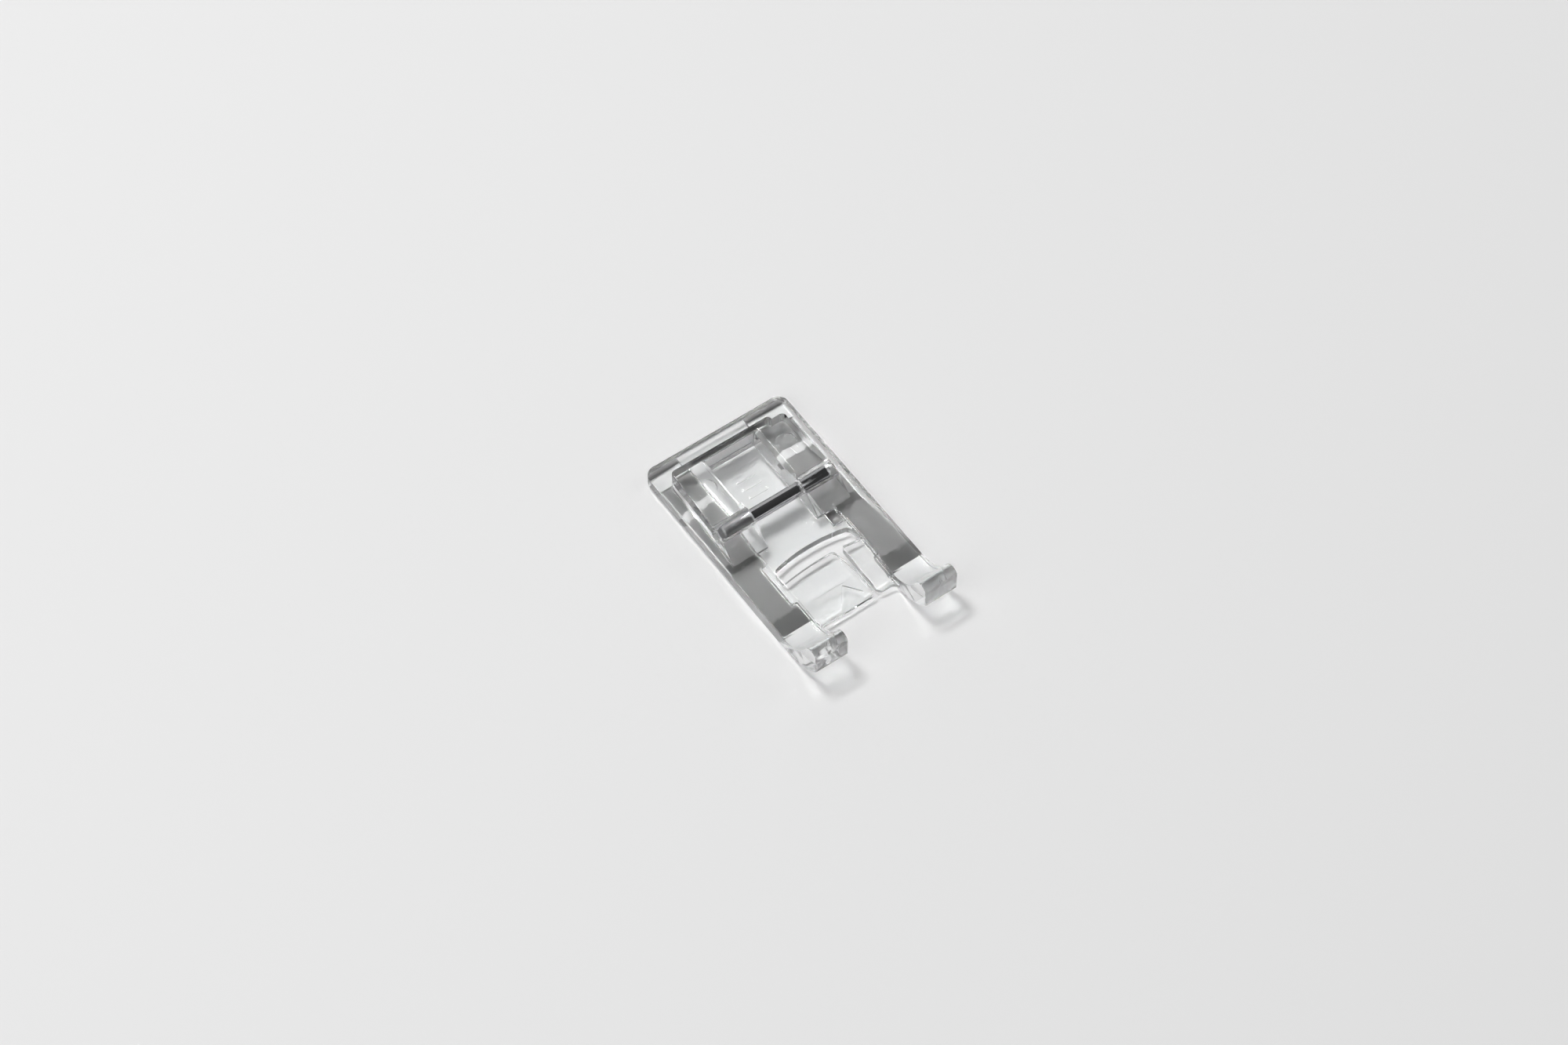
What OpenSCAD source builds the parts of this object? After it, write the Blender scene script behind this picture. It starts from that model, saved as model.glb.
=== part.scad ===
// Clear clip-on presser foot for a sewing machine: one moulding and one steel snap pin.
// Sizes are in millimetres. X runs across the foot, +Y points to its heel, and the bed is at z = 0.
// Most lengths are measured forward from the heel edge, and named so.

/* [Sole plate] */
// Overall length, heel edge to toe tips
foot_l = 35; // [33:0.5:38]
// Overall width
foot_w = 20; // [19.5:0.5:24]
// Thickness of the plate at the wings
plate_t = 1.9; // [1.8:0.1:2.4]
// Radius of the two heel corners, seen from above
heel_corner_r = 1.5; // [0.6:0.1:2.5]
// Radius that lifts the underside along the heel edge
heel_r = 1.3; // [0.5:0.1:1.6]
// Chamfer along the long lower edges
side_relief = 0.55; // [0.2:0.05:0.8]
// Heel edge to the place where the side chamfer starts to fade
side_relief_l = 17; // [12:0.5:20]

/* [Runners] */
// Height by which the two runners stand below the rest of the sole
runner_h = 0.12; // [0.08:0.02:0.3]
// Heel edge to the rear end of the runners
runner_back = 3.1; // [2.6:0.1:3.4]
// Front end of the runners to the toe tips
runner_setback = 7.2; // [6.4:0.1:8]

/* [Toes] */
// Width of the gap between the toes, and of the needle slot behind it
toe_gap = 11; // [10:0.1:12]
// Inside radius of the curve that turns each toe up
toe_curl_r = 5.1; // [4.2:0.1:5.4]
// Radius of the sole under each toe
toe_sole_r = 7.6; // [7:0.1:9]
// Length of the upturned sole of each toe
toe_rise_l = 6; // [5:0.1:6.4]
// Thickness of each toe at the start of its rounded top
toe_wall_t = 2.1; // [1.6:0.05:2.4]
// Height of the start of that rounded top
toe_wall_h = 5.15; // [4.9:0.05:5.6]
// Radius of the toe corners, seen from above
toe_tip_r = 0.2; // [0.1:0.05:0.8]

/* [Ears] */
// Distance of the ears' middle from the middle of the plate
frame_shift = -0.52; // [-0.8:0.02:0.4]
// Clear gap between the two ears
ear_gap = 7.06; // [6.6:0.02:7.5]
// Thickness of each ear at its heel end
ear_w = 4.4; // [3.6:0.1:4.6]
// Amount by which each ear widens towards its front
ear_flare = 0.5; // [0:0.05:0.6]
// Height of the ears' flat tops above the bed
ear_top = 4.7; // [4.4:0.05:5.2]
// Heel edge to the back of the left ear and of the rear wall
ear_back = 3.5; // [3.1:0.1:4]
// Amount by which the right ear starts further forward
ear_step = 0.6; // [0:0.1:0.7]
// Heel edge to the foot of the ears' front slope
ear_front = 17.2; // [16.6:0.1:17.6]
// Wall of plastic above the snap pin
boss_wall = 0.72; // [0.5:0.02:1]
// Radius of the ears' outer rear corners
ear_corner_r = 0.6; // [0.2:0.1:1]
// Chamfer along the ears' inner top edges
lead_in = 0.5; // [0.2:0.05:0.7]
// Thickness of the low wall that joins the ears at the heel
wall_t = 0.8; // [0.6:0.05:1]
// Reach of that wall behind the right ear
wall_reach = 2.7; // [2:0.1:3.4]
// Radius of the round mould mark on each ear
mark_r = 1.25; // [0.8:0.05:1.4]
// Depth of that mould mark
mark_depth = 0.12; // [0.05:0.01:0.2]
// Heel edge to the middle of that mould mark
mark_back = 7.8; // [6.4:0.1:9]

/* [Snap pin] */
// Diameter of the snap pin
pin_d = 1.76; // [1.6:0.02:1.9]
// Height of the pin's axis above the bed
pin_h = 3.4; // [3.2:0.05:3.6]
// Heel edge to the pin's axis
pin_back = 13.4; // [13:0.1:14]
// Distance of each pin end from the ear's outer face
pin_inset = 0.8; // [0.2:0.05:1]
// Chamfer on the pin's ends
pin_chamfer = 0.15; // [0.05:0.05:0.3]
// Difference between the bore's diameter and the pin's
pin_fit = 0.02; // [0.01:0.01:0.05]

/* [Web and tunnel] */
// Height of the web's top above the bed
web_top = 1.6; // [1.5:0.05:1.75]
// Thickness of the web over the tunnel
web_t = 0.95; // [0.8:0.05:1.1]
// Width of the tunnel behind the needle slot
tunnel_w = 9.7; // [8:0.1:10]
// Heel edge to the wide part of the tunnel
pocket_back = 18.6; // [18:0.1:19]
// Length of the wide part of the tunnel
pocket_l = 6.3; // [5.6:0.1:7]
// Width of the wide part of the tunnel
pocket_w = 12.4; // [12.2:0.1:13.4]
// Length of the three raised bars on the web
bar_l = 2.6; // [2:0.1:4]
// Width of each raised bar
bar_w = 0.5; // [0.3:0.05:0.8]
// Height of each raised bar
bar_h = 0.15; // [0.05:0.05:0.3]
// Spacing of the raised bars
bar_pitch = 1.3; // [1:0.1:2]

/* [Needle slot] */
// Heel edge to the middle of the slot's rear edge
slot_back = 19.5; // [19.2:0.1:20]
// Length of the slot at its middle, towards the toes
slot_l = 2.3; // [2:0.1:2.8]
// Height of the bow in the slot's rear edge
slot_bow = 0.7; // [0.3:0.05:0.9]
// Height of the bow in the slot's front edge
slot_front_bow = 0.45; // [0.2:0.05:0.6]
// Radius of the slot's rear corners
slot_r = 1.2; // [0.6:0.1:1.5]

/* [Bridge] */
// Length of the bridge between the toes
bridge_l = 7.55; // [7:0.05:7.9]
// Length of the bridge's upper flat
flat_l = 2.55; // [2:0.05:3]
// Length of the slope in front of the upper flat
slope_l = 1.55; // [1:0.05:1.7]
// Length of the bridge's lower flat
lip_l = 2.25; // [1.6:0.05:2.4]
// Height of the lower flat above the bed
lip_top = 1.4; // [1.3:0.05:1.5]
// Length of the short slope in front of the lower flat
edge_slope_l = 0.3; // [0.2:0.05:0.45]
// Height of the bridge's front edge
edge_top = 1.15; // [1:0.05:1.2]
// Radius of the fillets where the bridge meets the toes
fillet_r = 0.9; // [0.4:0.1:1.2]
// Width of the thread slit through the bridge
slit_w = 0.4; // [0.3:0.05:0.7]
// Distance of the slit from the middle of the plate
slit_x = 2.78; // [2.3:0.02:3.2]
// Width of the slit where it leaves the needle slot
slit_rear_w = 0.95; // [0.8:0.05:1.3]
// Length over which the slit narrows to its width
slit_taper_l = 3.6; // [2:0.1:4.5]
// Radius of the corners where the slit opens
slit_mouth_r = 0.7; // [0.3:0.05:0.9]
// Half width of the needle notch at its base
notch_w = 1.5; // [1:0.1:1.6]
// Length of the needle notch in the lower flat
notch_l = 1.95; // [1.4:0.05:2.1]

/* [Hidden] */
$fn = 96;

// Overlap that lets cutting tools and joined shapes run past each other
over = 0.5;
// Angle at which the side chamfer fades out
relief_fade = 5;
half_w = foot_w / 2;
half_gap = toe_gap / 2;
roof = web_top - web_t;
slot_front = slot_back + slot_l;
bridge_front = slot_front + bridge_l;
// The fillets at the sides of the gap reach this far
bridge_end = bridge_front + fillet_r;
runner_front = foot_l - runner_setback;
rise_back = foot_l - toe_rise_l;

// The toe's inner curve ends where the rounded top starts, and both share that point
curl_z = plate_t + toe_curl_r;
curl_reach = sqrt(pow(toe_curl_r, 2) - pow(curl_z - toe_wall_h, 2));
curl_back = foot_l - toe_wall_t - curl_reach;

// Radius of an arc of a given half chord and height
function arc_r(half_chord, height) = (pow(half_chord, 2) + pow(height, 2)) / (2 * height);

slot_arc = arc_r(half_gap, slot_bow);
slot_front_arc = arc_r(half_gap, slot_front_bow);
slit_left = slit_x - slit_w / 2;
slit_right = slit_x + slit_w / 2;

ear_in = ear_gap / 2;
boss_r = pin_d / 2 + boss_wall;
// The front slope touches the boss round the pin and ends at the foot of the ear
slope_run = ear_front - pin_back;
slope_fall = pin_h - plate_t;
slope_angle = acos(boss_r / norm([slope_run, slope_fall])) - atan(slope_fall / slope_run);
touch_back = pin_back + boss_r * cos(slope_angle);
touch_z = pin_h + boss_r * sin(slope_angle);
// Thickness of an ear where the pin crosses it
ear_at_pin = ear_w + ear_flare * (pin_back - ear_back) / (ear_front - ear_back);
pin_l = ear_gap + 2 * (ear_at_pin - pin_inset);

// Raises a plan drawn as X against the distance from the heel edge
module upward(z_low, z_high) {
  translate([0, 0, z_low])
    linear_extrude(z_high - z_low)
      translate([0, foot_l / 2])
        mirror([0, 1])
          children();
}

// Extrudes a side profile, drawn as distance from the heel edge against height, along X
module across(x_low, x_high) {
  translate([x_low, 0, 0])
    rotate([90, 0, 90])
      linear_extrude(x_high - x_low)
        translate([foot_l / 2, 0])
          mirror([1, 0])
            children();
}

// What a round corner takes off a square one. The corner points to the origin
module corner_waste(r) {
  difference() {
    translate([-over, -over]) square(r + over);
    translate([r, r]) circle(r);
  }
}

// Outline of plate and toes from above
module plan_outline() {
  difference() {
    translate([-half_w, 0]) square([foot_w, foot_l]);
    for (side = [-1, 1]) {
      scale([side, 1]) {
        translate([half_w, 0]) scale([-1, 1]) corner_waste(heel_corner_r);
        translate([half_w, foot_l]) rotate(180) corner_waste(toe_tip_r);
        translate([half_gap, foot_l]) scale([1, -1]) corner_waste(toe_tip_r);
      }
    }
    gap_outline();
  }
}

// Open gap between the toes, with rounded inner corners
module gap_outline() {
  difference() {
    translate([-half_gap, bridge_front]) square([toe_gap, foot_l]);
    for (side = [-1, 1]) {
      scale([side, 1]) {
        translate([half_gap, bridge_front]) {
          difference() {
            translate([-fillet_r, -over]) square([fillet_r + over, fillet_r + over]);
            translate([-fillet_r, fillet_r]) circle(fillet_r);
          }
        }
      }
    }
  }
}

// Side profile of the plate and of a toe
module side_profile() {
  difference() {
    square([curl_back, plate_t]);
    translate([0, runner_h]) corner_waste(heel_r);
  }
  toe_profile();
}

// A toe from the side: inner curve, round top, flat front and curved sole
module toe_profile() {
  intersection() {
    difference() {
      union() {
        translate([curl_back, 0]) square([foot_l - curl_back, toe_wall_h]);
        translate([foot_l - toe_wall_t / 2, toe_wall_h]) circle(toe_wall_t / 2);
      }
      translate([curl_back, curl_z]) circle(toe_curl_r);
    }
    union() {
      translate([rise_back, runner_h + toe_sole_r]) circle(toe_sole_r);
      translate([rise_back - toe_rise_l, runner_h]) square([toe_rise_l, foot_l]);
      translate([rise_back - over, runner_h + toe_sole_r]) square([foot_l, foot_l]);
    }
  }
}

// Plate and toes before the openings are cut
module sole_blank() {
  intersection() {
    across(-half_w, half_w) side_profile();
    upward(-over, foot_l) plan_outline();
  }
}

// Everything that leaves only the two runners on the bed
module sole_relief() {
  across(-half_w - over, half_w + over) {
    translate([-over, -over]) square([runner_back + over, runner_h + over]);
    translate([runner_front, -over]) square([foot_l, runner_h + over]);
  }
}

// Chamfer along each long lower edge, which fades out towards the toes
module side_reliefs() {
  for (side = [-1, 1]) {
    scale([side, 1, 1]) {
      translate([half_w, foot_l / 2 - side_relief_l, 0]) {
        intersection() {
          relief_prism(1);
          translate([-half_w, 0, -half_w]) cube([foot_w, foot_l, foot_w]);
        }
        intersection() {
          rotate(relief_fade) relief_prism(cos(relief_fade));
          translate([-half_w, -foot_l, -half_w]) cube([foot_w, foot_l, foot_w]);
        }
      }
    }
  }
}

// Long triangular prism along Y that cuts the chamfer. A turned one is squeezed to meet a straight one
module relief_prism(squeeze) {
  rotate([90, 0, 0])
    linear_extrude(4 * foot_l, center = true)
      scale([squeeze, 1])
        polygon([[over, -over], [-side_relief - over, -over], [over, side_relief + over]]);
}

// Recess in the top, which sets the web and the bridge lower than the wings
module web_recess() {
  upward(web_top, ear_top + foot_l) {
    translate([-half_gap, ear_front]) square([toe_gap, bridge_end - ear_front]);
    translate([frame_shift - ear_in, ear_back + wall_t])
      square([ear_gap, ear_front - ear_back - wall_t + over]);
  }
}

// Tunnel in the underside, for raised stitches
module tunnel() {
  upward(-over, roof) {
    translate([frame_shift - tunnel_w / 2, -over]) square([tunnel_w, pocket_back + 2 * over]);
    translate([-pocket_w / 2, pocket_back]) square([pocket_w, pocket_l]);
    translate([-half_gap, pocket_back]) square([toe_gap, bridge_end - pocket_back]);
  }
}

// Needle slot, open through the plate, with bowed rear and front edges
module needle_slot() {
  upward(-over, plate_t + over) {
    intersection() {
      translate([0, slot_back + slot_arc]) circle(slot_arc, $fn = 360);
      difference() {
        translate([-half_gap, slot_back]) square([toe_gap, slot_l + slot_front_bow + over]);
        translate([0, slot_front + slot_front_arc]) circle(slot_front_arc, $fn = 360);
        for (side = [-1, 1]) {
          scale([side, 1]) translate([half_gap, slot_back + slot_bow / 2]) scale([-1, 1]) corner_waste(slot_r);
        }
      }
    }
  }
}

// Steps down the front of the bridge: a slope, the lower flat, a short slope and the front flat.
// A notch in the lower flat points to the needle
module bridge_steps() {
  upper_end = slot_front + flat_l;
  lip_start = upper_end + slope_l;
  lip_end = lip_start + lip_l;
  across(-half_gap, half_gap) {
    polygon([
      [upper_end, web_top],
      [lip_start, lip_top],
      [lip_end, lip_top],
      [lip_end + edge_slope_l, edge_top],
      [bridge_end, edge_top],
      [bridge_end, foot_l],
      [upper_end, foot_l]
    ]);
  }
  upward(edge_top, foot_l) {
    polygon([
      [0, lip_end - notch_l],
      [-notch_w, lip_end],
      [-notch_w, bridge_end],
      [notch_w, bridge_end],
      [notch_w, lip_end]
    ]);
  }
}

// Thread slit, from the needle slot out through the bridge's front edge
module thread_slit() {
  rear_left = slit_right - slit_rear_w;
  upward(-over, plate_t + over) {
    polygon([
      [rear_left, slot_front - over],
      [rear_left, slot_front + slit_mouth_r],
      [slit_left, slot_front + slit_taper_l],
      [slit_left, bridge_front + over],
      [slit_right, bridge_front + over],
      [slit_right, slot_front - over]
    ]);
    slit_mouth(rear_left, slot_front, 1);
    slit_mouth(slit_left, bridge_front, -1);
  }
}

// Rounded opening at one end of the slit
module slit_mouth(left, end_back, forward) {
  translate([0, end_back]) {
    scale([1, forward]) {
      difference() {
        translate([left - slit_mouth_r, -over])
          square([slit_right - left + 2 * slit_mouth_r, slit_mouth_r + over]);
        translate([left - slit_mouth_r, slit_mouth_r]) circle(slit_mouth_r);
        translate([slit_right + slit_mouth_r, slit_mouth_r]) circle(slit_mouth_r);
      }
    }
  }
}

// Side profile of an ear: flat top, boss round the pin and front slope
module ear_profile(start) {
  polygon([
    [start, roof],
    [start, ear_top],
    [pin_back, ear_top],
    [touch_back, touch_z],
    [ear_front, plate_t],
    [ear_front, roof]
  ]);
  translate([pin_back, pin_h]) circle(boss_r);
}

// One ear. Side -1 is the left one
module ear(side) {
  start = side < 0 ? ear_back : ear_back + ear_step;
  outer = ear_in + ear_w;
  intersection() {
    across(-half_w, half_w) ear_profile(start);
    upward(0, foot_l) {
      translate([frame_shift, 0]) {
        scale([side, 1]) {
          difference() {
            polygon([
              [ear_in, start],
              [outer, start],
              [outer + ear_flare, ear_front],
              [ear_in, ear_front]
            ]);
            translate([outer, start]) scale([-1, 1]) corner_waste(ear_corner_r);
          }
        }
      }
    }
  }
}

// Low wall that joins the ears behind the pin
module rear_wall() {
  left_end = frame_shift - ear_in - ear_w / 2;
  right_end = frame_shift + ear_in + wall_reach;
  upward(roof, ear_top) {
    difference() {
      translate([left_end, ear_back]) square([right_end - left_end, wall_t]);
      translate([right_end, ear_back]) scale([-1, 1]) corner_waste(ear_step);
    }
  }
}

// Chamfers on the ears' inner top edges and round mould marks on their flat tops
module ear_finish() {
  chamfer_back = ear_back + wall_t;
  chamfer_front = pin_back - boss_r;
  for (side = [-1, 1]) {
    translate([frame_shift + side * ear_in, 0, 0]) {
      translate([0, foot_l / 2 - chamfer_front, ear_top])
        rotate([0, 45, 0])
          translate([-lead_in / sqrt(2), 0, -lead_in / sqrt(2)])
            cube([lead_in * sqrt(2), chamfer_front - chamfer_back, lead_in * sqrt(2)]);
      translate([side * ear_w / 2, foot_l / 2 - mark_back, ear_top - mark_depth])
        cylinder(r = mark_r, h = over);
    }
  }
}

// Three plain raised bars on the web, in view between the ears
module web_bars() {
  bars_back = (ear_back + wall_t + pin_back) / 2;
  upward(web_top - over, web_top + bar_h) {
    for (row = [-1:1]) {
      translate([frame_shift - bar_l / 2, bars_back + row * bar_pitch - bar_w / 2])
        square([bar_l, bar_w]);
    }
  }
}

// Round bore through both ears, along the pin's axis
module pin_bore() {
  bore_l = foot_w + 2 * over;
  translate([-bore_l / 2, foot_l / 2 - pin_back, pin_h])
    rotate([0, 90, 0])
      cylinder(d = pin_d + pin_fit, h = bore_l);
}

// The clear moulding: plate, runners, toes, bridge, ears and rear wall in one piece
module foot_body() {
  color("whitesmoke") {
    difference() {
      union() {
        sole_blank();
        for (side = [-1, 1]) {
          ear(side);
        }
        rear_wall();
      }
      sole_relief();
      side_reliefs();
      tunnel();
      web_recess();
      needle_slot();
      bridge_steps();
      thread_slit();
      ear_finish();
      pin_bore();
    }
    web_bars();
  }
}

// The steel pin, pressed through both ears, that the machine's shank snaps onto
module snap_pin() {
  color("silver") {
    translate([frame_shift, foot_l / 2 - pin_back, pin_h]) {
      rotate([0, 90, 0]) {
        rotate_extrude() {
          polygon([
            [0, -pin_l / 2],
            [pin_d / 2 - pin_chamfer, -pin_l / 2],
            [pin_d / 2, -pin_l / 2 + pin_chamfer],
            [pin_d / 2, pin_l / 2 - pin_chamfer],
            [pin_d / 2 - pin_chamfer, pin_l / 2],
            [0, pin_l / 2]
          ]);
        }
      }
    }
  }
}

foot_body();
snap_pin();
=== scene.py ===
"""Studio picture of a clear clip-on presser foot.

All lengths are in metres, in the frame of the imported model.
"""
import math

import bmesh
import bpy
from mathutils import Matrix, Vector
from mathutils.bvhtree import BVHTree
from mathutils.geometry import intersect_point_line


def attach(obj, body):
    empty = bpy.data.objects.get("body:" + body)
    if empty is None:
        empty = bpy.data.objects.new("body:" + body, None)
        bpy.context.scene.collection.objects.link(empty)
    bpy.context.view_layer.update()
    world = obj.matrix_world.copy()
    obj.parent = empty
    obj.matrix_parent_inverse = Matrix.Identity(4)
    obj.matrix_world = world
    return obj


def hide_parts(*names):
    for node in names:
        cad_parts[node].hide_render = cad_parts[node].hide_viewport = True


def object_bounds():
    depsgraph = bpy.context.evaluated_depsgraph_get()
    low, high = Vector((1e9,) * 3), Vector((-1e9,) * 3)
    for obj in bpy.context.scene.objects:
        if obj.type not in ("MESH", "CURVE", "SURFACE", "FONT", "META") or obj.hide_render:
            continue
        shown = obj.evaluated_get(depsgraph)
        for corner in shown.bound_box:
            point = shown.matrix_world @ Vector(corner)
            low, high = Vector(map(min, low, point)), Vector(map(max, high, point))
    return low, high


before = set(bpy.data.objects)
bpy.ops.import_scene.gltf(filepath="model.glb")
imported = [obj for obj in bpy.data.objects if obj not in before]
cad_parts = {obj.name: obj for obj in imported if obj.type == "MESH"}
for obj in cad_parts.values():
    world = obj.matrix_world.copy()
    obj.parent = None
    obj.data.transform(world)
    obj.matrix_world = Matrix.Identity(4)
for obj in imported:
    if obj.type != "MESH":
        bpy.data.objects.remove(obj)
cad_low, cad_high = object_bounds()

MM = 0.001

# The photograph's camera, measured from the middle of the heel edge at the height of the bed
CAMERA_AZIMUTH = math.radians(35.488)
CAMERA_ELEVATION = math.radians(55.988)
CAMERA_DISTANCE = 517.69 * MM
CAMERA_RIGHT = 8.497 * MM
CAMERA_UP = -9.661 * MM
CAMERA_LENS = 100
CAMERA_SENSOR = 36
CAMERA_NEAR = 10 * MM

# Edges over this angle are rounded by this width, as a polished mould leaves them
SHARP_ANGLE = math.radians(14)
EDGE_WIDTH = 0.12 * MM
# Between two flats of at least this area, an edge of a few degrees is one too.
# A curve has smaller faces.
FLAT_ANGLE = math.radians(3)
FLAT_AREA = 4 * MM * MM
# The top edges at the back and the ends of the toes are rounder
ROUND_WIDTH = 0.22 * MM
ROUND_SEGMENTS = 2
# How strongly the large faces keep their own direction in the shading, of 100
FLAT_SHADING = 80

# Points closer than this become one, and faces within this angle become one flat
MERGE_DISTANCE = 0.03 * MM
MERGE_ANGLE = math.radians(0.5)
# This much is cut off both ends of a long edge, so that its end can be rounded less
SPLIT_REACH = 0.4 * MM
# Within this distance of a place where two roundings cross, each step makes them smaller by this
# factor. One below the smallest weight goes.
CLEARANCE = 0.25 * MM
SHRINK = 0.6
SMALLEST_WEIGHT = 0.04
FITTING_STEPS = 50

# The numbers of the foot's finishes. The ones on the bed, at the back and at the side carry
# painted shade in their tints.
POLISHED, ON_BED, AT_BACK, AT_SIDE = range(4)
# How much of a face's normal points along an axis: for a flat, for a face that looks along the
# axis, for one that looks mostly along it, and for one on the rounding beside it
LEVEL = 0.99
FACING = 0.9
LEANING = 0.7
ROUNDING = 0.3
# Places on the foot, in millimetres
BED_TO_Z = 0.01
BACKS_FROM_Y = 13.5
TOE_ENDS_TO_Y = -15
TOE_ENDS_FROM_Z = 2.5
LEFT_SIDE_TO_X = -9.2
LEFT_SIDE_FROM_Y = -12
PLATE_TO_Z = 2
SLOT_REAR_FROM_Y = -2.3
SLOT_REAR_TO_Y = -1
SLOT_REAR_TO_Z = 1.7
SLOT_HALF_WIDTH = 4.8

ACRYLIC_IOR = 1.49
MATT = 0.4
# The stripes of painted shade and of polish on the runners' faces have uneven borders, by this
# much
STRIPE_WANDER = 1.2 * MM

# The runners' faces touch the bed, and a film of air stays under them
AIR_FILM = 0.02 * MM
FLOOR_SIZE = 3.0

ROOM_LIGHT = 0.05
SOFTBOX_DISTANCE = 1.2
# Name, azimuth and elevation in degrees, side in metres, power in watts.
# Azimuth 0 is over the heel, and it grows towards +X.
SOFTBOXES = [
    ("key_softbox", -18, 67, 0.36, 10),
    ("left_softbox", -100, 45, 0.9, 4.5),
    ("back_softbox", 25, 24, 1.1, 2.6),
    ("right_softbox", 110, 40, 0.6, 1.5),
]


def grey(level):
    """A neutral colour."""
    return (level, level, level, 1)


def new_material(name):
    """A node material, its node tree and its Principled shader."""
    material = bpy.data.materials.new(name)
    material.use_nodes = True
    tree = material.node_tree
    return material, tree, tree.nodes["Principled BSDF"]


def connect(tree, value, socket):
    """Gives a socket its value, which is a number, a colour or the output of another node."""
    if isinstance(value, bpy.types.NodeSocket):
        tree.links.new(value, socket)
    else:
        socket.default_value = value


def calculate(tree, operation, *values):
    """The result of a Math node."""
    node = tree.nodes.new("ShaderNodeMath")
    node.operation = operation
    for value, socket in zip(values, node.inputs):
        connect(tree, value, socket)
    return node.outputs["Value"]


def surface_place(tree):
    """The place on the surface, in the object's own coordinates."""
    return tree.nodes.new("ShaderNodeTexCoord").outputs["Object"]


def coordinates(tree, place):
    """The X, Y and Z of a place, each under its name."""
    parts = tree.nodes.new("ShaderNodeSeparateXYZ")
    connect(tree, place, parts.inputs["Vector"])
    return parts.outputs


def noise(tree, place, scale, detail=2):
    """Even noise from 0 to 1."""
    node = tree.nodes.new("ShaderNodeTexNoise")
    node.inputs["Scale"].default_value = scale
    node.inputs["Detail"].default_value = detail
    connect(tree, place, node.inputs["Vector"])
    return node.outputs["Fac"]


def between(tree, part, first, second):
    """A number that goes from the first to the second as the part goes from 0 to 1."""
    node = tree.nodes.new("ShaderNodeMapRange")
    node.inputs["To Min"].default_value = first
    node.inputs["To Max"].default_value = second
    connect(tree, part, node.inputs["Value"])
    return node.outputs["Result"]


def stripe(tree, value, centre, half_width, softness):
    """1 where a value is near the centre, and 0 away from it."""
    offset = calculate(tree, "SUBTRACT", value, centre)
    near = tree.nodes.new("ShaderNodeMapRange")
    near.inputs["From Min"].default_value = half_width - softness
    near.inputs["From Max"].default_value = half_width + softness
    near.inputs["To Min"].default_value = 1
    near.inputs["To Max"].default_value = 0
    connect(tree, calculate(tree, "ABSOLUTE", offset), near.inputs["Value"])
    return near.outputs["Result"]


def mix_colours(tree, part, first, second):
    """A colour that goes from the first to the second as the part goes from 0 to 1."""
    node = tree.nodes.new("ShaderNodeMixRGB")
    connect(tree, part, node.inputs["Fac"])
    connect(tree, first, node.inputs["Color1"])
    connect(tree, second, node.inputs["Color2"])
    return node.outputs["Color"]


def polished_normal(tree, place):
    """The direction of a polished surface: slightly uneven, and soft at its edges."""
    edge = tree.nodes.new("ShaderNodeBevel")
    edge.samples = 6
    edge.inputs["Radius"].default_value = 0.15 * MM
    bump = tree.nodes.new("ShaderNodeBump")
    bump.inputs["Strength"].default_value = 0.03
    bump.inputs["Distance"].default_value = 0.02 * MM
    connect(tree, noise(tree, place, 260, detail=3), bump.inputs["Height"])
    connect(tree, edge.outputs["Normal"], bump.inputs["Normal"])
    return bump.outputs["Normal"]


def acrylic(name, colour, roughness):
    """The foot's plastic. The colour tints only what is seen through the surface."""
    material, tree, shader = new_material(name)
    shader.inputs["Base Color"].default_value = colour
    shader.inputs["Roughness"].default_value = roughness
    shader.inputs["Transmission Weight"].default_value = 1
    shader.inputs["IOR"].default_value = ACRYLIC_IOR
    return material, tree, shader


def clear_plastic():
    """Polished acrylic. The narrow top of the rear wall is tinted nearly black, as painted shade
    for the dark room seen through its rounded edge.
    """
    clear = (0.985, 0.99, 0.99, 1)
    material, tree, shader = acrylic("clear_plastic", clear, 0)
    place = surface_place(tree)
    parts = coordinates(tree, place)
    across = stripe(tree, parts["X"], -1.2 * MM, 5.6 * MM, 1.2 * MM)
    along = stripe(tree, parts["Y"], 13.6 * MM, 0.38 * MM, 0.05 * MM)
    top = stripe(tree, parts["Z"], 4.7 * MM, 0.1 * MM, 0.02 * MM)
    wall = calculate(tree, "MULTIPLY", across, along)
    wall_top_shade = calculate(tree, "MULTIPLY", wall, top)
    # Painted shade: the top of the rear wall between the ears is tinted nearly black
    connect(tree, mix_colours(tree, wall_top_shade, clear, grey(0.04)), shader.inputs["Base Color"])
    connect(tree, polished_normal(tree, place), shader.inputs["Normal"])
    return material


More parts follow.
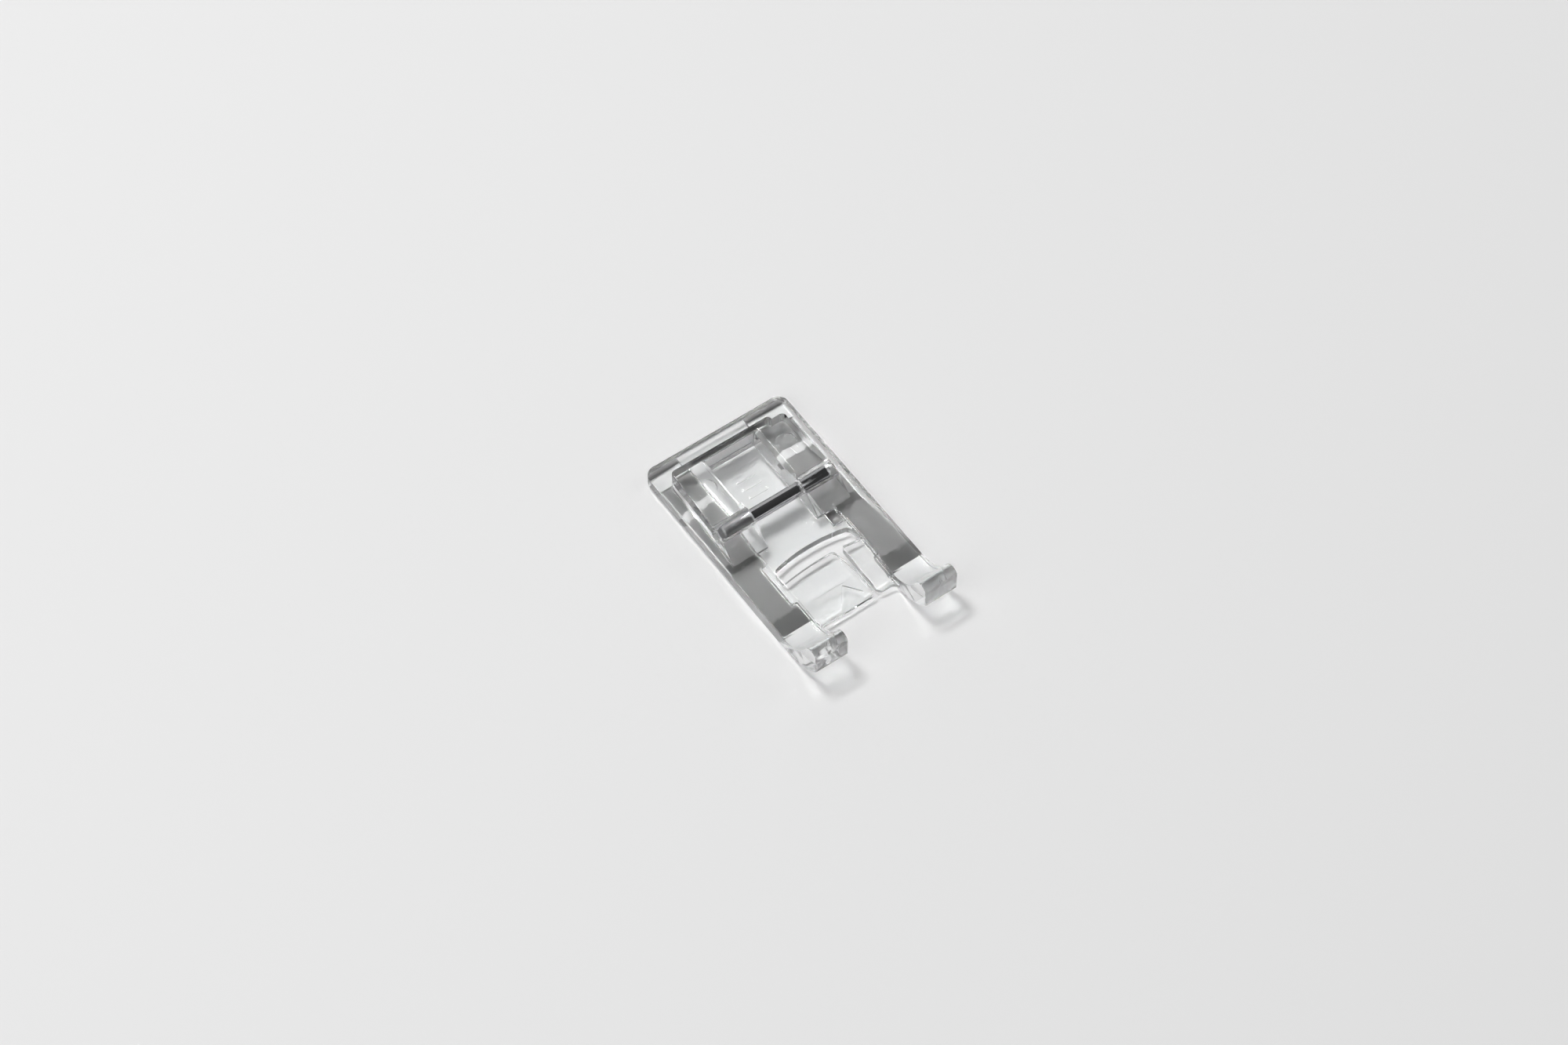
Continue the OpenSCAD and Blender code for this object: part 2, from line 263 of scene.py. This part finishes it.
def frosted_plastic():
    """Acrylic where the mould was left matt, under the runners.

    Its grey tint is painted shade for the dimness that frost gives through the plastic.
    Painted shade darkens it further in a stripe at the front, and a painted shadow of the pin
    darkens one before the ears. It is polished, with no painted shade, in a stripe under the
    ears.
    """
    # The matt roughness is the frost; the grey tint is painted shade for the dimness it gives
    material, tree, shader = acrylic("frosted_plastic", grey(0.40), MATT)
    place = surface_place(tree)
    wander = noise(tree, place, 900)
    along = coordinates(tree, place)["Y"]
    length = calculate(tree, "MULTIPLY_ADD", wander, STRIPE_WANDER, along)
    # The noise is one half on average
    zero = STRIPE_WANDER / 2
    # Painted shade at the front ends of the runners
    front = stripe(tree, length, zero - 9.6 * MM, 1.7 * MM, 0.25 * MM)
    # Painted shadow of the pin, cast forward onto the bed just before the ears
    pin_shadow = stripe(tree, length, zero + 0.9 * MM, 0.7 * MM, 0.2 * MM)
    # Polished, with the tint clear: no painted shade here
    under_ears = stripe(tree, length, zero + 9.8 * MM, 0.6 * MM, 0.1 * MM)
    colour = mix_colours(tree, front, grey(0.40), grey(0.15))
    colour = mix_colours(tree, pin_shadow, colour, grey(0.15))
    colour = mix_colours(tree, under_ears, colour, grey(0.97))
    connect(tree, colour, shader.inputs["Base Color"])
    connect(tree, between(tree, under_ears, 0.6, 0.05), shader.inputs["Roughness"])
    return material


def matt_back_painted_shade():
    """Acrylic on the matt backs, tinted grey as painted shade, and painted darker still as shade
    near the top edges of the heel and of the ears.
    """
    # Painted shade: the grey tint darkens what is seen through the backs
    material, tree, shader = acrylic("matt_back_painted_shade", grey(0.22), MATT)
    height = coordinates(tree, surface_place(tree))["Z"]
    heel = stripe(tree, height, 1.5 * MM, 0.5 * MM, 0.1 * MM)
    top = stripe(tree, height, 4.4 * MM, 0.6 * MM, 0.1 * MM)
    # Painted shade along the heel's top edge and, nearly black, along the top edges of the wall
    # and ears
    colour = mix_colours(tree, heel, grey(0.22), grey(0.10))
    colour = mix_colours(tree, top, colour, grey(0.03))
    connect(tree, colour, shader.inputs["Base Color"])
    connect(tree, between(tree, top, MATT, 0.12), shader.inputs["Roughness"])
    return material


def matt_side_painted_shade():
    """Acrylic on the matt left side and on the needle slot's rear wall, tinted grey as painted
    shade.
    """
    return acrylic("matt_side_painted_shade", grey(0.62), MATT)[0]


def pin_steel():
    """Bright drawn steel with faint lines along the pin. Its left end is knurled, to hold."""
    material, tree, shader = new_material("pin_steel")
    shader.inputs["Metallic"].default_value = 1
    place = surface_place(tree)
    stretch = tree.nodes.new("ShaderNodeMapping")
    stretch.inputs["Scale"].default_value = (150, 9000, 9000)
    connect(tree, place, stretch.inputs["Vector"])
    lines = between(tree, noise(tree, stretch.outputs["Vector"], 1), 0.10, 0.20)
    knurled = stripe(tree, coordinates(tree, place)["X"], -6.5 * MM, 2.4 * MM, 0.1 * MM)
    colour = mix_colours(tree, knurled, (0.50, 0.50, 0.51, 1), (0.36, 0.36, 0.37, 1))
    connect(tree, colour, shader.inputs["Base Color"])
    rough = calculate(tree, "MULTIPLY_ADD", knurled, 0.35, lines)
    connect(tree, rough, shader.inputs["Roughness"])
    return material


def sharp_edges(work):
    """The edges that get a rounding."""
    sharp = []
    for edge in work.edges:
        angle = edge.calc_face_angle(0)
        is_between_flats = min(face.calc_area() for face in edge.link_faces) > FLAT_AREA
        if angle > SHARP_ANGLE or (angle > FLAT_ANGLE and is_between_flats):
            sharp.append(edge)
    return sharp


def is_round_edge(edge):
    """True for the top edges at the back and for the ends of the toes."""
    low_y, high_y = sorted(vert.co.y / MM for vert in edge.verts)
    low_z = min(vert.co.z / MM for vert in edge.verts)
    most_y = max(face.normal.y for face in edge.link_faces)
    most_z = max(face.normal.z for face in edge.link_faces)
    is_back = low_y > BACKS_FROM_Y and most_y > FACING and most_z > FACING
    is_toe = high_y < TOE_ENDS_TO_Y and low_z > TOE_ENDS_FROM_Z
    return is_back or is_toe


def split_ends(work):
    """Cuts both ends off the long sharp edges."""
    for edge in sharp_edges(work):
        length = edge.calc_length()
        if length > 3 * SPLIT_REACH:
            start, end = edge.verts
            corner = bmesh.utils.edge_split(edge, start, SPLIT_REACH / length)[1]
            rest = [other for other in corner.link_edges if end in other.verts][0]
            bmesh.utils.edge_split(rest, end, SPLIT_REACH / rest.calc_length())


def clean_mesh(source):
    """The CAD mesh with one face for each flat, ready to be rounded."""
    work = bmesh.new()
    work.from_mesh(source)
    bmesh.ops.remove_doubles(work, verts=work.verts, dist=MERGE_DISTANCE)
    bmesh.ops.dissolve_degenerate(work, dist=MERGE_DISTANCE, edges=work.edges)
    bmesh.ops.dissolve_limit(
        work, angle_limit=MERGE_ANGLE, verts=work.verts, edges=work.edges
    )
    split_ends(work)
    for face in work.faces:
        face.smooth = True
    return work


def crossings(mesh):
    """Places where two faces that share no corner run through each other."""
    work = bmesh.new()
    work.from_mesh(mesh)
    bmesh.ops.triangulate(work, faces=work.faces)
    work.faces.ensure_lookup_table()
    tree = BVHTree.FromBMesh(work)
    places = []
    for a, b in tree.overlap(tree):
        first, second = work.faces[a], work.faces[b]
        if a < b and not set(first.verts) & set(second.verts):
            for place in (first.calc_center_median(), second.calc_center_median()):
                if all((place - other).length > CLEARANCE / 5 for other in places):
                    places.append(place)
    work.free()
    return places


def edge_distance(edge, place):
    """Distance from a place to the nearest point of an edge."""
    start, end = edge.verts[0].co, edge.verts[1].co
    part = intersect_point_line(place, start, end)[1]
    return (start.lerp(end, min(1, max(0, part))) - place).length


def add_rounding(piece):
    """The modifiers that round the edges by their weight. The flats keep their own direction."""
    bevel = piece.modifiers.new("edges", "BEVEL")
    bevel.width = ROUND_WIDTH
    bevel.segments = ROUND_SEGMENTS
    bevel.limit_method = "WEIGHT"
    bevel.use_clamp_overlap = False
    shading = piece.modifiers.new("shading", "WEIGHTED_NORMAL")
    shading.mode = "FACE_AREA"
    shading.weight = FLAT_SHADING
    shading.keep_sharp = True


def finished_mesh(piece, work):
    """The mesh that the modifiers of a piece make of the work."""
    work.to_mesh(piece.data)
    piece.data.update()
    bpy.context.view_layer.update()
    evaluated = piece.evaluated_get(bpy.context.evaluated_depsgraph_get())
    return bpy.data.meshes.new_from_object(evaluated)


def fitted_mesh(piece, work):
    """The rounded mesh, in which no rounding runs through another.

    Should any still do so after the last step, the mesh is taken as it is.
    """
    weight = work.edges.layers.float.new("bevel_weight_edge")
    sharp = sharp_edges(work)
    for edge in sharp:
        edge[weight] = 1 if is_round_edge(edge) else EDGE_WIDTH / ROUND_WIDTH
    finished = finished_mesh(piece, work)
    for _ in range(FITTING_STEPS):
        places = crossings(finished)
        if not places:
            break
        for edge in sharp:
            if any(edge_distance(edge, place) < CLEARANCE for place in places):
                edge[weight] = edge[weight] * SHRINK if edge[weight] > SMALLEST_WEIGHT else 0
                edge.smooth = edge[weight] > 0
        bpy.data.meshes.remove(finished)
        finished = finished_mesh(piece, work)
    return finished


def rounded_copy(node, name, materials, finish):
    """A copy of a CAD node with its edges rounded. It has the same form and stands for the node.

    The function finish gives the number of the material for a face.
    """
    piece = bpy.data.objects.new(name, bpy.data.meshes.new(name))
    bpy.context.scene.collection.objects.link(piece)
    add_rounding(piece)
    work = clean_mesh(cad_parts[node].data)
    mesh = fitted_mesh(piece, work)
    work.free()
    piece.modifiers.clear()
    piece.data = mesh
    mesh.name = name
    # The modifiers leave an error of a few nanometres outside the CAD's box
    for vertex in mesh.vertices:
        limits = zip(vertex.co, cad_low, cad_high)
        vertex.co = [min(max(value, low), high) for value, low, high in limits]
    for material in materials:
        mesh.materials.append(material)
    for polygon in mesh.polygons:
        polygon.material_index = finish(polygon)
    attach(piece, "root")
    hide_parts(node)
    return piece


def body_finish(polygon):
    """The number of the finish for a face of the foot."""
    x, y, z = polygon.center / MM
    normal = polygon.normal
    if normal.z < -LEVEL and z < BED_TO_Z:
        return ON_BED
    # The backs of the heel, of the wall and of the ears, with their roundings
    if normal.y > ROUNDING and y > BACKS_FROM_Y:
        return AT_BACK
    if normal.x < -LEANING and x < LEFT_SIDE_TO_X and y > LEFT_SIDE_FROM_Y and z < PLATE_TO_Z:
        return AT_SIDE
    is_at_slot = SLOT_REAR_FROM_Y < y < SLOT_REAR_TO_Y and abs(x) < SLOT_HALF_WIDTH
    if normal.y < -LEANING and is_at_slot and z < SLOT_REAR_TO_Z:
        return AT_SIDE
    return POLISHED


def pin_finish(polygon):
    """The pin has one finish."""
    return 0


def add_camera():
    """The photograph's view. Its place is given along the view, and right and up across it."""
    azimuth, elevation = CAMERA_AZIMUTH, CAMERA_ELEVATION
    along = Vector((
        math.sin(azimuth) * math.cos(elevation),
        math.cos(azimuth) * math.cos(elevation),
        -math.sin(elevation),
    ))
    right = Vector((math.cos(azimuth), -math.sin(azimuth), 0))
    up = right.cross(along)
    heel = Vector((0, cad_high.y, 0))
    data = bpy.data.cameras.new("camera")
    data.lens = CAMERA_LENS
    data.sensor_width = CAMERA_SENSOR
    data.clip_start = CAMERA_NEAR
    camera = bpy.data.objects.new("camera", data)
    camera.location = heel + right * CAMERA_RIGHT + up * CAMERA_UP - along * CAMERA_DISTANCE
    camera.rotation_euler = (math.pi / 2 - elevation, 0, -azimuth)
    bpy.context.scene.collection.objects.link(camera)
    bpy.context.scene.camera = camera


def add_floor():
    """A plain pale board."""
    material, _, shader = new_material("floor")
    shader.inputs["Base Color"].default_value = grey(0.80)
    shader.inputs["Roughness"].default_value = 0.9
    shader.inputs["Specular IOR Level"].default_value = 0.2
    half = FLOOR_SIZE / 2
    corners = [(-half, -half, 0), (half, -half, 0), (half, half, 0), (-half, half, 0)]
    mesh = bpy.data.meshes.new("floor")
    mesh.from_pydata(corners, [], [(0, 1, 2, 3)])
    mesh.materials.append(material)
    floor = bpy.data.objects.new("floor", mesh)
    floor.location.z = -AIR_FILM
    bpy.context.scene.collection.objects.link(floor)


def add_softbox(name, azimuth, elevation, size, power):
    """A square light that faces the foot."""
    data = bpy.data.lights.new(name, "AREA")
    data.shape = "SQUARE"
    data.size = size
    data.energy = power
    azimuth, elevation = math.radians(azimuth), math.radians(elevation)
    towards = Vector((
        math.sin(azimuth) * math.cos(elevation),
        math.cos(azimuth) * math.cos(elevation),
        math.sin(elevation),
    ))
    light = bpy.data.objects.new(name, data)
    light.location = towards * SOFTBOX_DISTANCE
    light.rotation_euler = towards.to_track_quat("Z", "Y").to_euler()
    bpy.context.scene.collection.objects.link(light)


def add_room():
    """Dim even light from all sides."""
    world = bpy.data.worlds.new("room")
    world.use_nodes = True
    background = world.node_tree.nodes["Background"]
    background.inputs["Color"].default_value = grey(1)
    background.inputs["Strength"].default_value = ROOM_LIGHT
    bpy.context.scene.world = world


def set_up_picture():
    """Plain colours, and light paths long enough for the many faces of the clear plastic."""
    scene = bpy.context.scene
    scene.view_settings.view_transform = "Standard"
    scene.cycles.max_bounces = 24
    scene.cycles.transmission_bounces = 20
    scene.cycles.glossy_bounces = 12
    scene.cycles.blur_glossy = 0
    scene.cycles.sample_clamp_indirect = 0


set_up_picture()

# In the order of the finishes' numbers
finishes = [clear_plastic(), frosted_plastic(), matt_back_painted_shade(), matt_side_painted_shade()]
body = rounded_copy("foot_body", "foot_clear", finishes, body_finish)
pin = rounded_copy("snap_pin", "pin_round", [pin_steel()], pin_finish)

add_camera()
add_floor()
add_room()
for softbox in SOFTBOXES:
    add_softbox(*softbox)
